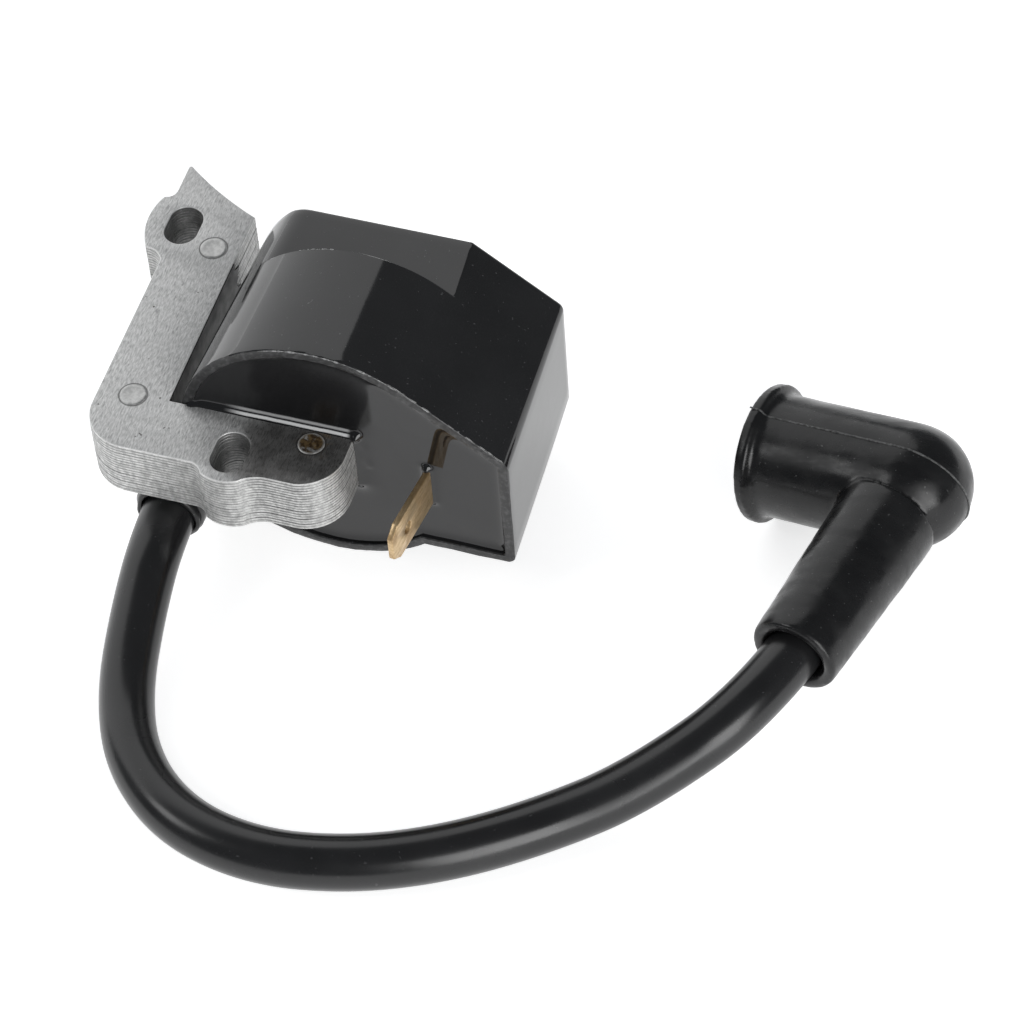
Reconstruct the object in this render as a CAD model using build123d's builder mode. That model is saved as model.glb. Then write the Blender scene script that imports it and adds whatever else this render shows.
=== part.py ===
from build123d import *
import math
import os

os.makedirs("parts", exist_ok=True)

# Ignition coil of a small two-stroke engine, lying on its round housing.
# Millimetres, +Z up, +X across the coil towards the kill terminal's side, +Y from the open face
# towards the flywheel. The origin is on the table, under the middle of the coil module.

# ---- where the module stands ----
coil_x = 4.5                # the coil's axis, from the origin
rim_y = -13.8               # the plane of the housing's open rim

# ---- housing ----
housing_radius = 18.9
housing_length = 27.4
housing_wall = 1.4
back_wall = 1.5
draft = 2.5                 # degrees, all walls narrow towards the back
axis_z = housing_radius     # height of the coil's axis
slant_angle = 37.0          # degrees, the compartment's sloping wall
slant_foot_x = 24.4
compartment_floor_z = 4.6
corner_radius = 2.6
foot_corner_radius = 1.2
step_y = 18.0               # behind this the top is cut flat
step_z = 32.3
step_corner_radius = 3.0
cut_width = 60.0            # of the block that cuts the flat, wider than the housing
cut_height = 30.0
contact_slot_x = -13.5      # how far in the contact's way through the wall runs
contact_slot_y = (2.5, 3.5)
contact_slot_z = (8.5, 10.1)

# ---- laminated core ----
sheet_count = 18
sheet_pitch = 0.5
sheet_thickness = 0.49      # the rest of the pitch is varnish
core_bottom_z = 14.1
core_height = sheet_count * sheet_pitch
core_mid_z = core_bottom_z + core_height / 2
arm_outer_x = -29.4
arm_inner_x = -20.0
base_inner_y = -0.1
base_outer_y = -8.7
inner_arm_width = 8.6
flywheel_radius = 51.0
flywheel_y = 78.75          # the flywheel's centre lies on the coil's axis
horn_x = -31.4              # outer corner of the outer pole
horn_tip_x = -30.8
horn_rise = 0.7
ear = [(-32.7, 32.3), (-33.5, 28.0), (-32.0, 23.5)]    # the bulge round the outer slot
ear_top_y = 33.6
ear_foot_y = 21.8
heel_start_y = -2.5         # the rounded corner below the outer arm
heel_radius = 6.2
heel_end_x = -23.2
lobe = [(-12.4, -10.0), (-9.9, -10.7), (-7.4, -10.1)]  # the bulge round the inner slot
lobe_start_x = -14.2
lobe_tail = [(-6.0, -9.1), (-4.2, -8.7)]
toe = [(-0.6, -8.7), (2.9, -6.9), (4.3, -3.4)]         # the rounded corner below the inner arm
slot_width = 4.4
slot_length = 6.4
slot_centres = [(-28.5, 28.2), (-9.8, -6.0)]
rivet_diameter = 3.4
rivet_clearance = 0.02
rivet_head = 0.12
face_rivets = [(-23.4, 25.4), (-24.75, -0.4), (-0.5, -2.1)]
hidden_rivet = (0.0, 24.0)

# ---- lead tower, lead and plug boot ----
tower_x = -19.2
tower_z = 9.3
tower_radius = 4.6
tower_front_y = -6.6
tower_back_y = 7.0
tower_bore_end_y = 3.6
web_front_y = 2.8           # the web below the tower, on which the coil rests
web_width = 7.0
lead_diameter = 7.0
conductor_diameter = 2.0
conductor_gap = 0.01
bore_clearance = 0.05
seal_diameter = 8.3
seal_depth = 1.6
contact_spike_diameter = 1.6
contact_spike_length = 3.2
contact_spike_taper = 6.0   # degrees
contact_strip = 0.8         # thickness of the contact's metal
contact_z = (8.6, 10.0)
contact_tail_y = (2.6, 3.4)
contact_tail_x = -10.4
contact_inset = 0.6         # of the strip, from the lead's axis
contact_rim_gap = 0.2       # between the disc and the tower's bore
end_gap = 0.1               # between the disc and the lead's end
boot_reach = 21.5           # from the lead's end to the elbow's centre
barrel_heading = 169.6      # degrees from +X
barrel_dip = 11.1           # degrees below level, so that the flange rests on the table
barrel_diameter = 15.8
barrel_length = 20.5        # from the elbow's centre to the mouth
flange_diameter = 18.1
flange_thickness = 1.6
socket_diameter = 10.4      # over the spark plug's insulator
socket_depth = 8.6          # of the straight wall, behind the lead-in
socket_lead_in = 0.5
chamber_diameter = 8.6      # behind it, for the spring and the plug's terminal
chamber_overrun = 2.0       # past the elbow's centre
tube_length = 30.5          # from the elbow's centre to the tube's end
tube_root_diameter = 13.3
tube_end_diameter = 11.4
tube_mouth_diameter = 8.6
tube_mouth_depth = 1.3
spring_diameter = 7.4
spring_wire = 0.9
spring_pitch = 1.75
spring_turns = 5
spring_start = 0.4
spring_leg_grip = 3.5       # how far the leg pushes into the lead, ahead of its conductor
conductor_cut = 4.0         # how far the conductor stops short at the boot's end
spring_knee = 5.0           # from the elbow's centre to the leg's bend
boot_edge = 0.5             # the boot's worn outer edges
flange_step = 0.7           # the small cone in front of the flange
tube_edge = 0.6
tube_bore_stop = 2.0        # the tube's bore ends this far from the elbow's centre

# The lead's route by hand, from inside the tower to inside the boot, along the table.
lead_route = [
    (-14.7, -14.0, 9.3),
    (-14.7, -24.5, 9.3),
    (-14.0, -34.7, 6.3),
    (-12.2, -45.2, 3.8),
    (-7.7, -54.6, 3.5),
    (0.5, -61.5, 3.5),
    (11.5, -63.9, 3.5),
    (23.1, -61.9, 3.5),
    (33.6, -57.3, 3.5),
    (43.6, -50.4, 3.5),
    (53.9, -43.2, 6.0),
    (66.4, -31.5, 13.2),
    (70.1, -16.0, 13.1),
]

# ---- coil inside ----
bobbin_clearance = 0.1
bobbin_front_y = 5.2
primary_back_y = 25.6
secondary_back_y = 16.2
primary_tube_wall = 0.8
primary_flange_radius = 9.0
primary_wire_radius = 8.7
film_inner_radius = 9.1
film_outer_radius = 9.35
secondary_bore_radius = 9.45
secondary_tube_radius = 10.2
secondary_flange_radius = 15.4
secondary_wire_radius = 14.6
bobbin_flange = 0.8
section_count = 4
potting_recess = 0.8
pocket = 0.1                # clearance of the potting round what it holds

# ---- electronics and terminals ----
board_x = 19.3              # inner face of the board, from the coil's axis
board_thickness = 1.2
board_front_y = 4.4
board_back_y = 24.4
board_low_z = 7.2
board_high_z = 23.4
tab_width = 6.3
tab_thickness = 0.8
tab_length = 10.4
tab_x = 13.5
tab_z = 16.2
tab_lean = 7.5              # degrees towards -X
tab_tip_chamfer = 1.3
tab_hole_diameter = 1.7
tab_hole_out = 6.4
tab_tip_length = 1.6
tab_foot_z = (14.2, 18.2)
tab_foot_inset = 0.4
tab_overlap = 0.05
earth_z = (20.0, 22.4)
earth_thickness = 0.4
earth_core_y = (1.4, 4.8)
earth_cross_y = 2.4
earth_board_y = 7.0
power_thickness = 2.8       # power transistor, from the board
power_y = (8.0, 15.8)
power_z = (8.0, 18.8)
power_hole = (11.9, 16.4)   # y, z
power_hole_radius = 1.6
power_leg_top_z = 22.4
power_leg_thickness = 0.5
power_leg_half_width = 0.35
power_leg_ys = (9.6, 11.9, 14.2)
control_stand = 0.9         # control transistor, its flat back
control_y = 20.4
control_z = (8.2, 12.8)
control_radius = 2.3
component_y = 20.0          # the row of small components
component_gap = 0.2
component_wire_radius = 0.25
component_lead_reach = 1.0
component_length = 3.4
diode_z = 14.4
diode_radius = 1.1
resistor_zs = (16.9, 19.0)
resistor_radius = 0.85
capacitor_z = 21.7
capacitor_radius = 1.6
capacitor_thickness = 2.0
cavity_depth_x = 3.2        # room in the potting for the tallest component


def level(z):
    """Horizontal sketch plane; its local origin is under the coil's axis, in the plane of the rim."""
    return Plane(origin=(coil_x, rim_y, z), x_dir=(1, 0, 0), z_dir=(0, 0, 1))


def section(y):
    """Upright sketch plane facing the open side, y behind the rim; local Y is height off the table."""
    return Plane(origin=(coil_x, rim_y + y, 0), x_dir=(1, 0, 0), z_dir=(0, -1, 0))


def block(x, y, z):
    """A box between two limits on each axis of the module, as a plain solid."""
    size = (x[1] - x[0], y[1] - y[0], z[1] - z[0])
    middle = (coil_x + (x[0] + x[1]) / 2, rim_y + (y[0] + y[1]) / 2, (z[0] + z[1]) / 2)
    return Pos(*middle) * Box(*size, mode=Mode.PRIVATE)


def heading(turn, dip=0):
    """Direction at a turn from +X and a dip below level, both in degrees."""
    across = math.cos(math.radians(dip))
    return Vector(
        across * math.cos(math.radians(turn)),
        across * math.sin(math.radians(turn)),
        -math.sin(math.radians(dip)),
    )


def finish(part, name):
    part.label = name
    export_step(part, f"parts/{name}.step")


# ======== core: a stack of stamped sheets, riveted ========
def pole_y(x):
    """Where the flywheel's circle crosses a given x."""
    return flywheel_y - math.sqrt(flywheel_radius**2 - x**2)


inner_half = inner_arm_width / 2
slot_run = slot_length - slot_width

with BuildSketch() as sheet:
    with BuildLine():
        Polyline(
            (-inner_half, pole_y(inner_half)),
            (-inner_half, base_inner_y),
            (arm_inner_x, base_inner_y),
            (arm_inner_x, pole_y(arm_inner_x)),
        )
        RadiusArc((arm_inner_x, pole_y(arm_inner_x)), (horn_tip_x, pole_y(horn_tip_x)), -flywheel_radius)
        Polyline(
            (horn_tip_x, pole_y(horn_tip_x)),
            (horn_x, pole_y(horn_x) - horn_rise),
            (horn_x, ear_top_y),
            ear[0],
        )
        ThreePointArc(*ear)
        Polyline(ear[-1], (arm_outer_x, ear_foot_y), (arm_outer_x, heel_start_y))
        RadiusArc((arm_outer_x, heel_start_y), (heel_end_x, base_outer_y), -heel_radius)
        Polyline((heel_end_x, base_outer_y), (lobe_start_x, base_outer_y), lobe[0])
        ThreePointArc(*lobe)
        ThreePointArc(lobe[-1], *lobe_tail)
        Line(lobe_tail[-1], toe[0])
        ThreePointArc(*toe)
        Line(toe[-1], (inner_half, pole_y(inner_half)))
        RadiusArc((inner_half, pole_y(inner_half)), (-inner_half, pole_y(inner_half)), -flywheel_radius)
    make_face()
    with Locations(*slot_centres):
        SlotCenterToCenter(slot_run, slot_width, rotation=90, mode=Mode.SUBTRACT)
    with Locations(*face_rivets, hidden_rivet):
        Circle(rivet_diameter / 2 + rivet_clearance, mode=Mode.SUBTRACT)

with BuildPart() as core_laminations:
    for index in range(sheet_count):
        with BuildSketch(level(core_bottom_z + index * sheet_pitch)):
            add(sheet.sketch)
        extrude(amount=sheet_thickness)
finish(core_laminations.part, "core_laminations")

with BuildPart() as core_rivets:
    with BuildSketch(level(core_bottom_z - rivet_head)):
        with Locations(*face_rivets):
            Circle(rivet_diameter / 2)
    extrude(amount=core_height + 2 * rivet_head)
    with BuildSketch(level(core_bottom_z)):
        with Locations(hidden_rivet):
            Circle(rivet_diameter / 2)
    extrude(amount=core_height)
finish(core_rivets.part, "core_rivets")

# ======== housing: round can round the coil, with a side compartment for the electronics ========
slant = math.radians(slant_angle)
slant_top = (housing_radius * math.sin(slant), axis_z + housing_radius * math.cos(slant))
slant_foot_z = slant_top[1] - math.tan(slant) * (slant_foot_x - slant_top[0])

with BuildSketch() as outer_profile:
    with Locations((0, axis_z)):
        Circle(housing_radius)
    with BuildLine():
        Polyline(
            slant_top,
            (slant_foot_x, slant_foot_z),
            (slant_foot_x, compartment_floor_z),
            (0, compartment_floor_z),
            (0, axis_z),
            close=True,
        )
    make_face()
    corner = outer_profile.vertices().sort_by(Axis.X)[-2:]
    fillet(corner.sort_by(Axis.Y)[-1], corner_radius)
    foot = outer_profile.vertices().sort_by(Axis.X)[-2:]
    fillet(foot.sort_by(Axis.Y)[0], foot_corner_radius)

with BuildSketch() as cavity_profile:
    offset(outer_profile.sketch, amount=-housing_wall)

cavity_floor_y = housing_length - back_wall
core_top_z = core_bottom_z + core_height
through = 0.1               # how far a cutting block runs past the wall that it opens

with BuildPart() as cavity:
    with BuildSketch(section(0)):
        add(cavity_profile.sketch)
    extrude(amount=-cavity_floor_y, taper=draft)
    with BuildSketch(section(step_y - housing_wall)):
        with Locations((0, step_z - housing_wall)):
            Rectangle(cut_width, cut_height, align=(Align.CENTER, Align.MIN))
    extrude(amount=-cut_height, mode=Mode.SUBTRACT)

arm_passage = block(
    (-inner_half - bobbin_clearance, inner_half + bobbin_clearance),
    (cavity_floor_y - through, housing_length + through),
    (core_bottom_z - bobbin_clearance, core_top_z + bobbin_clearance),
)
contact_slot = block((tower_x, contact_slot_x), contact_slot_y, contact_slot_z)

with BuildPart() as coil_housing:
    with BuildSketch(section(0)):
        add(outer_profile.sketch)
    extrude(amount=-housing_length, taper=draft)
    with BuildSketch(section(step_y)):
        with Locations((0, step_z)):
            Rectangle(cut_width, cut_height, align=(Align.CENTER, Align.MIN))
    extrude(amount=-cut_height, mode=Mode.SUBTRACT)
    flat_edges = coil_housing.edges().filter_by_position(Axis.Z, step_z - through, step_z + through)
    fillet(flat_edges.sort_by(Axis.X)[0], step_corner_radius)
    with BuildSketch(section(tower_front_y)):
        with Locations((tower_x, tower_z)):
            Circle(tower_radius)
    extrude(amount=tower_front_y - tower_back_y)
    with BuildSketch(section(web_front_y)):
        with Locations((tower_x, 0)):
            Rectangle(web_width, tower_z, align=(Align.CENTER, Align.MIN))
    extrude(amount=web_front_y - tower_back_y)
    add(cavity.part, mode=Mode.SUBTRACT)
    with BuildSketch(section(tower_front_y)):
        with Locations((tower_x, tower_z)):
            Circle(lead_diameter / 2 + bore_clearance)
    extrude(amount=tower_front_y - tower_bore_end_y, mode=Mode.SUBTRACT)
    with BuildSketch(section(tower_front_y)):
        with Locations((tower_x, tower_z)):
            Circle(seal_diameter / 2)
    extrude(amount=-seal_depth, mode=Mode.SUBTRACT)
    add(arm_passage, mode=Mode.SUBTRACT)
    add(contact_slot, mode=Mode.SUBTRACT)
finish(coil_housing.part, "coil_housing")

# ======== coil: primary inside, sectioned secondary outside ========
tube_x = inner_arm_width + 2 * bobbin_clearance
tube_z = core_height + 2 * bobbin_clearance
tube_outer_x = tube_x + 2 * primary_tube_wall
tube_outer_z = tube_z + 2 * primary_tube_wall
primary_flange_ys = (bobbin_front_y, primary_back_y - bobbin_flange)

with BuildPart() as primary_bobbin:
    with BuildSketch(section(bobbin_front_y)):
        with Locations((0, core_mid_z)):
            Rectangle(tube_outer_x, tube_outer_z)
    extrude(amount=bobbin_front_y - primary_back_y)
    for flange_y in primary_flange_ys:
        with BuildSketch(section(flange_y)):
            with Locations((0, axis_z)):
                Circle(primary_flange_radius)
        extrude(amount=-bobbin_flange)
    with BuildSketch(section(bobbin_front_y)):
        with Locations((0, core_mid_z)):
            Rectangle(tube_x, tube_z)
    extrude(amount=bobbin_front_y - primary_back_y, mode=Mode.SUBTRACT)
finish(primary_bobbin.part, "primary_bobbin")

with BuildPart() as primary_winding:
    with BuildSketch(section(bobbin_front_y + bobbin_flange)):
        with Locations((0, axis_z)):
            Circle(primary_wire_radius)
        with Locations((0, core_mid_z)):
            Rectangle(tube_outer_x, tube_outer_z, mode=Mode.SUBTRACT)
    extrude(amount=bobbin_front_y + 2 * bobbin_flange - primary_back_y)
finish(primary_winding.part, "primary_winding")

with BuildPart() as winding_film:
    with BuildSketch(section(bobbin_front_y)):
        with Locations((0, axis_z)):
            Circle(film_outer_radius)
            Circle(film_inner_radius, mode=Mode.SUBTRACT)
    extrude(amount=bobbin_front_y - secondary_back_y)
finish(winding_film.part, "winding_film")

section_pitch = (secondary_back_y - bobbin_front_y - bobbin_flange) / section_count

with BuildPart() as secondary_bobbin:
    with BuildSketch(section(bobbin_front_y)):
        with Locations((0, axis_z)):
            Circle(secondary_tube_radius)
    extrude(amount=bobbin_front_y - secondary_back_y)
    for index in range(section_count + 1):
        with BuildSketch(section(bobbin_front_y + index * section_pitch)):
            with Locations((0, axis_z)):
                Circle(secondary_flange_radius)
        extrude(amount=-bobbin_flange)
    with BuildSketch(section(bobbin_front_y)):
        with Locations((0, axis_z)):
            Circle(secondary_bore_radius)
    extrude(amount=bobbin_front_y - secondary_back_y, mode=Mode.SUBTRACT)
finish(secondary_bobbin.part, "secondary_bobbin")

with BuildPart() as secondary_winding:
    for index in range(section_count):
        with BuildSketch(section(bobbin_front_y + index * section_pitch + bobbin_flange)):
            with Locations((0, axis_z)):
                Circle(secondary_wire_radius)
                Circle(secondary_tube_radius, mode=Mode.SUBTRACT)
        extrude(amount=bobbin_flange - section_pitch)
finish(secondary_winding.part, "secondary_winding")

# ======== electronics on their board, in the side compartment ========
with BuildPart() as circuit_board:
    add(
        block(
            (board_x, board_x + board_thickness),
            (board_front_y, board_back_y),
            (board_low_z, board_high_z),
        )
    )
finish(circuit_board.part, "circuit_board")

with BuildPart() as power_transistor:
    add(block((board_x - power_thickness, board_x), power_y, power_z))
    with BuildSketch(Plane(origin=(coil_x + board_x, rim_y, 0), x_dir=(0, 1, 0), z_dir=(-1, 0, 0))):
        with Locations((power_hole[0], -power_hole[1])):
            Circle(power_hole_radius)
    extrude(amount=power_thickness, mode=Mode.SUBTRACT)
    for leg_y in power_leg_ys:
        leg_span = (leg_y - power_leg_half_width, leg_y + power_leg_half_width)
        add(block((board_x - power_leg_thickness, board_x), leg_span, (power_z[1], power_leg_top_z)))
finish(power_transistor.part, "power_transistor")

with BuildPart() as control_transistor:
    with BuildSketch(Plane(origin=(coil_x + board_x - control_stand, rim_y + control_y, control_z[0]))):
        Circle(control_radius)
        Rectangle(cut_width, cut_width, align=(Align.MIN, Align.CENTER), mode=Mode.SUBTRACT)
    extrude(amount=control_z[1] - control_z[0])
    add(
        block(
            (board_x - control_stand, board_x),
            (control_y - control_radius, control_y + control_radius),
            control_z,
        )
    )
finish(control_transistor.part, "control_transistor")


def axial_component(z, radius):
    """A body lying along Y, with a wire at each end bent down to the board."""
    body_x = coil_x + board_x - radius - component_gap
    middle = (body_x, rim_y + component_y, z)
    reach = component_length + 2 * component_lead_reach
    body = Pos(*middle) * Cylinder(radius, component_length, rotation=(90, 0, 0), mode=Mode.PRIVATE)
    body += Pos(*middle) * Cylinder(component_wire_radius, reach, rotation=(90, 0, 0), mode=Mode.PRIVATE)
    leg_length = radius + component_gap
    half_span = reach / 2 - component_wire_radius
    for leg_y in (component_y - half_span, component_y + half_span):
        leg = Cylinder(component_wire_radius, leg_length, rotation=(0, 90, 0), mode=Mode.PRIVATE)
        body += Pos(body_x + leg_length / 2, rim_y + leg_y, z) * leg
    return body


with BuildPart() as diode:
    add(axial_component(diode_z, diode_radius))
finish(diode.part, "diode")

with BuildPart() as resistors:
    for resistor_z in resistor_zs:
        add(axial_component(resistor_z, resistor_radius))
finish(resistors.part, "resistors")

capacitor_x = coil_x + board_x - capacitor_thickness / 2
with BuildPart() as capacitor:
    with Locations((capacitor_x, rim_y + component_y, capacitor_z)):
        Cylinder(capacitor_radius, capacitor_thickness, rotation=(0, 90, 0))
finish(capacitor.part, "capacitor")

# ======== kill terminal: a flat brass tab standing out of the potting ========
tab_root = Vector(coil_x + tab_x, rim_y, tab_z)
tab_out = heading(270 - tab_lean)
tab_plane = Plane(origin=tab_root, x_dir=tab_out, z_dir=tab_out.cross(Vector(0, 0, 1)))
foot_y = (board_front_y - tab_thickness, board_front_y)
half_tab = tab_width / 2
tab_root_end = tab_overlap - board_front_y

with BuildPart() as kill_terminal:
    with BuildSketch(tab_plane):
        with BuildLine():
            Polyline(
                (tab_root_end, -half_tab),
                (tab_length - tab_tip_length, -half_tab),
                (tab_length, tab_tip_chamfer - half_tab),
                (tab_length, half_tab - tab_tip_chamfer),
                (tab_length - tab_tip_length, half_tab),
                (tab_root_end, half_tab),
                close=True,
            )
        make_face()
        with Locations((tab_hole_out, 0)):
            Circle(tab_hole_diameter / 2, mode=Mode.SUBTRACT)
    extrude(amount=tab_thickness / 2, both=True)
    add(block((tab_x + tab_foot_inset, board_x + board_thickness), foot_y, tab_foot_z))
finish(kill_terminal.part, "kill_terminal")

with BuildPart() as earth_strip:
    add(block((inner_half, inner_half + earth_thickness), earth_core_y, earth_z))
    add(block((inner_half, board_x), (earth_cross_y, earth_cross_y + earth_thickness), earth_z))
    add(block((board_x - earth_thickness, board_x), (earth_cross_y, earth_board_y), earth_z))
finish(earth_strip.part, "earth_strip")

# ======== high-tension contact in the lead tower ========
disc_front_y = lead_route[0][1] - rim_y + end_gap
strip_x = tower_x + contact_inset
tail_end_x = contact_tail_x - contact_strip

with BuildPart() as ht_contact:
    with BuildSketch(section(disc_front_y)):
        with Locations((tower_x, tower_z)):
            Circle(lead_diameter / 2 - contact_rim_gap)
    extrude(amount=-contact_strip)
    with BuildSketch(section(disc_front_y)):
        with Locations((tower_x, tower_z)):
            Circle(contact_spike_diameter / 2)
    extrude(amount=contact_spike_length, taper=contact_spike_taper)
    add(block((strip_x, strip_x + contact_strip), (disc_front_y, contact_tail_y[1]), contact_z))
    add(block((strip_x, contact_tail_x), contact_tail_y, contact_z))
    add(block((tail_end_x, contact_tail_x), (contact_tail_y[0], bobbin_front_y), contact_z))
finish(ht_contact.part, "ht_contact")

# ======== potting: fills the housing round everything else, open only at its face ========
with BuildPart() as potting_compound:
    add(cavity.part)
    add(
        block((-cut_width, cut_width), (-through, potting_recess), (-through, cut_width)),
        mode=Mode.SUBTRACT,
    )
    with BuildSketch(section(bobbin_front_y)):
        with Locations((0, axis_z)):
            Circle(secondary_flange_radius + pocket)
    extrude(amount=bobbin_front_y - secondary_back_y - pocket, mode=Mode.SUBTRACT)
    with BuildSketch(section(bobbin_front_y)):
        with Locations((0, axis_z)):
            Circle(primary_flange_radius + pocket)
    extrude(amount=bobbin_front_y - housing_length, mode=Mode.SUBTRACT)
    add(
        block(
            (board_x - cavity_depth_x, board_x + board_thickness + pocket),
            (board_front_y, housing_length),
            (board_low_z - pocket, board_high_z + pocket),
        ),
        mode=Mode.SUBTRACT,
    )
    add(
        block((-inner_half, inner_half), (0, bobbin_front_y), (core_bottom_z, core_top_z)),
        mode=Mode.SUBTRACT,
    )
    add(kill_terminal.part, mode=Mode.SUBTRACT)
    add(earth_strip.part, mode=Mode.SUBTRACT)
    add(ht_contact.part, mode=Mode.SUBTRACT)
finish(potting_compound.part, "potting_compound")

# ======== lead: one tube along its route, its conductor inside, sealed into the tower ========
route = [Vector(*point) for point in lead_route]
run_share = 0.45            # of the shorter run, taken by each bend
bend_radii = []
for before, corner, after in zip(route, route[1:], route[2:]):
    turn = (corner - before).get_angle(after - corner)
    shorter = min((corner - before).length, (after - corner).length)
    bend_radii.append(run_share * shorter / math.tan(math.radians(turn / 2)))
print("lead bend radii", [round(radius, 1) for radius in bend_radii])
lead_start = Plane(origin=route[0], z_dir=route[1] - route[0])
lead_bore = conductor_diameter / 2 + conductor_gap

with BuildPart() as ht_lead:
    with BuildLine() as lead_line:
        FilletPolyline(*route, radius=bend_radii)
    with BuildSketch(lead_start):
        Circle(lead_diameter / 2)
        Circle(lead_bore, mode=Mode.SUBTRACT)
    sweep()
finish(ht_lead.part, "ht_lead")
lead_length = lead_line.wire().length
lead_area = math.pi * ((lead_diameter / 2) ** 2 - lead_bore**2)
print("lead length", round(lead_length, 2), "volume ratio", ht_lead.part.volume / (lead_area * lead_length))

tube_direction = (route[-1] - route[-2]).normalized()
elbow = route[-1] + tube_direction * boot_reach

with BuildPart() as lead_conductor:
    with BuildLine():
        FilletPolyline(*route, radius=bend_radii)
    with BuildSketch(lead_start):
        Circle(conductor_diameter / 2)
    sweep()
    with BuildSketch(lead_start):
        Circle(conductor_diameter)
    extrude(amount=contact_spike_length, mode=Mode.SUBTRACT)
    with BuildSketch(Plane(origin=route[-1], z_dir=-tube_direction)):
        Circle(conductor_diameter)
    extrude(amount=conductor_cut, mode=Mode.SUBTRACT)
finish(lead_conductor.part, "lead_conductor")

with BuildPart() as lead_seal:
    with BuildSketch(section(tower_front_y)):
        with Locations((tower_x, tower_z)):
            Circle(seal_diameter / 2)
            Circle(lead_diameter / 2 + bore_clearance, mode=Mode.SUBTRACT)
    extrude(amount=-seal_depth)
finish(lead_seal.part, "lead_seal")

# ======== plug boot: a rubber elbow, its barrel over the plug and its tube over the lead ========
barrel_out = heading(barrel_heading, barrel_dip)
tube_out = -tube_direction
boot_normal = barrel_out.cross(tube_out)
barrel_plane = Plane(origin=elbow, x_dir=barrel_out, z_dir=boot_normal)
tube_plane = Plane(origin=elbow, x_dir=tube_out, z_dir=boot_normal)
barrel_axis = Axis(elbow, barrel_out)
tube_axis = Axis(elbow, tube_out)
barrel_radius = barrel_diameter / 2
flange_radius = flange_diameter / 2
flange_root = barrel_length - flange_thickness
tube_bore_radius = lead_diameter / 2 + bore_clearance
socket_radius = socket_diameter / 2
chamber_radius = chamber_diameter / 2
socket_front = barrel_length - socket_lead_in
socket_back = socket_front - socket_depth

with BuildPart() as plug_boot:
    with BuildSketch(barrel_plane):
        with BuildLine():
            Polyline(
                (0, 0),
                (0, barrel_radius),
                (flange_root - flange_step, barrel_radius),
                (flange_root, barrel_radius + boot_edge),
                (flange_root, flange_radius - boot_edge),
                (flange_root + boot_edge, flange_radius),
                (barrel_length - boot_edge, flange_radius),
                (barrel_length, flange_radius - boot_edge),
                (barrel_length, 0),
                close=True,
            )
        make_face()
    revolve(axis=barrel_axis)
    with Locations(elbow):
        Sphere(barrel_radius)
    with BuildSketch(tube_plane):
        with BuildLine():
            Polyline(
                (0, 0),
                (0, tube_root_diameter / 2),
                (tube_length - tube_edge, tube_end_diameter / 2),
                (tube_length, tube_end_diameter / 2 - tube_edge),
                (tube_length, 0),
                close=True,
            )
        make_face()
    revolve(axis=tube_axis)
    with BuildSketch(barrel_plane):
        with BuildLine():
            Polyline(
                (barrel_length + socket_lead_in, 0),
                (barrel_length + socket_lead_in, socket_radius + 2 * socket_lead_in),
                (socket_front, socket_radius),
                (socket_back, socket_radius),
                (socket_back - socket_lead_in, chamber_radius),
                (-chamber_overrun, chamber_radius),
                (-chamber_overrun, 0),
                close=True,
            )
        make_face()
    revolve(axis=barrel_axis, mode=Mode.SUBTRACT)
    with BuildSketch(Plane(origin=elbow + tube_out * tube_length, z_dir=-tube_out)):
        Circle(tube_bore_radius)
    extrude(amount=tube_length - tube_bore_stop, mode=Mode.SUBTRACT)
    with BuildSketch(Plane(origin=elbow + tube_out * tube_length, z_dir=-tube_out)):
        Circle(tube_mouth_diameter / 2)
    extrude(amount=tube_mouth_depth, mode=Mode.SUBTRACT)
finish(plug_boot.part, "plug_boot")

with BuildPart() as plug_spring:
    with BuildLine():
        coil_line = Helix(
            spring_pitch,
            spring_pitch * spring_turns,
            (spring_diameter - spring_wire) / 2,
            center=elbow + barrel_out * spring_start,
            direction=barrel_out,
        )
    with BuildSketch(Plane(origin=coil_line @ 0, z_dir=coil_line % 0)):
        Circle(spring_wire / 2)
    sweep(is_frenet=True)
    with BuildLine():
        leg_line = Polyline(
            coil_line @ 0,
            elbow + tube_out * spring_knee,
            elbow + tube_out * (boot_reach + spring_leg_grip),
        )
    with BuildSketch(Plane(origin=leg_line @ 0, z_dir=leg_line % 0)):
        Circle(spring_wire / 2)
    sweep(transition=Transition.ROUND)
finish(plug_spring.part, "plug_spring")
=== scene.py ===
import math

import bmesh
import bpy
import numpy as np
from mathutils import Matrix, Vector, noise
from mathutils.geometry import tessellate_polygon


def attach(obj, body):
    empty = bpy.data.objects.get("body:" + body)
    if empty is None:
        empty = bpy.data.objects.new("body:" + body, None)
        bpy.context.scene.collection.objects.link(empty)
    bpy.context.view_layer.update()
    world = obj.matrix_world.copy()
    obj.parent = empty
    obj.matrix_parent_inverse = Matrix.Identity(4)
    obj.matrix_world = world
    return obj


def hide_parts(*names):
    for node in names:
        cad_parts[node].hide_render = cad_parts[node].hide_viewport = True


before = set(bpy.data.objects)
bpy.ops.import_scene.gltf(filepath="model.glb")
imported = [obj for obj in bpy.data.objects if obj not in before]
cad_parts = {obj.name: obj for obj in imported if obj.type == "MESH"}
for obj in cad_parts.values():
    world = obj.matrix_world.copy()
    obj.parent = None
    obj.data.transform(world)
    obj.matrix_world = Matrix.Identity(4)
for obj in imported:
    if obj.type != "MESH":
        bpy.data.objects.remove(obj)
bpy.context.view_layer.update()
MM = 0.001

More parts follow.
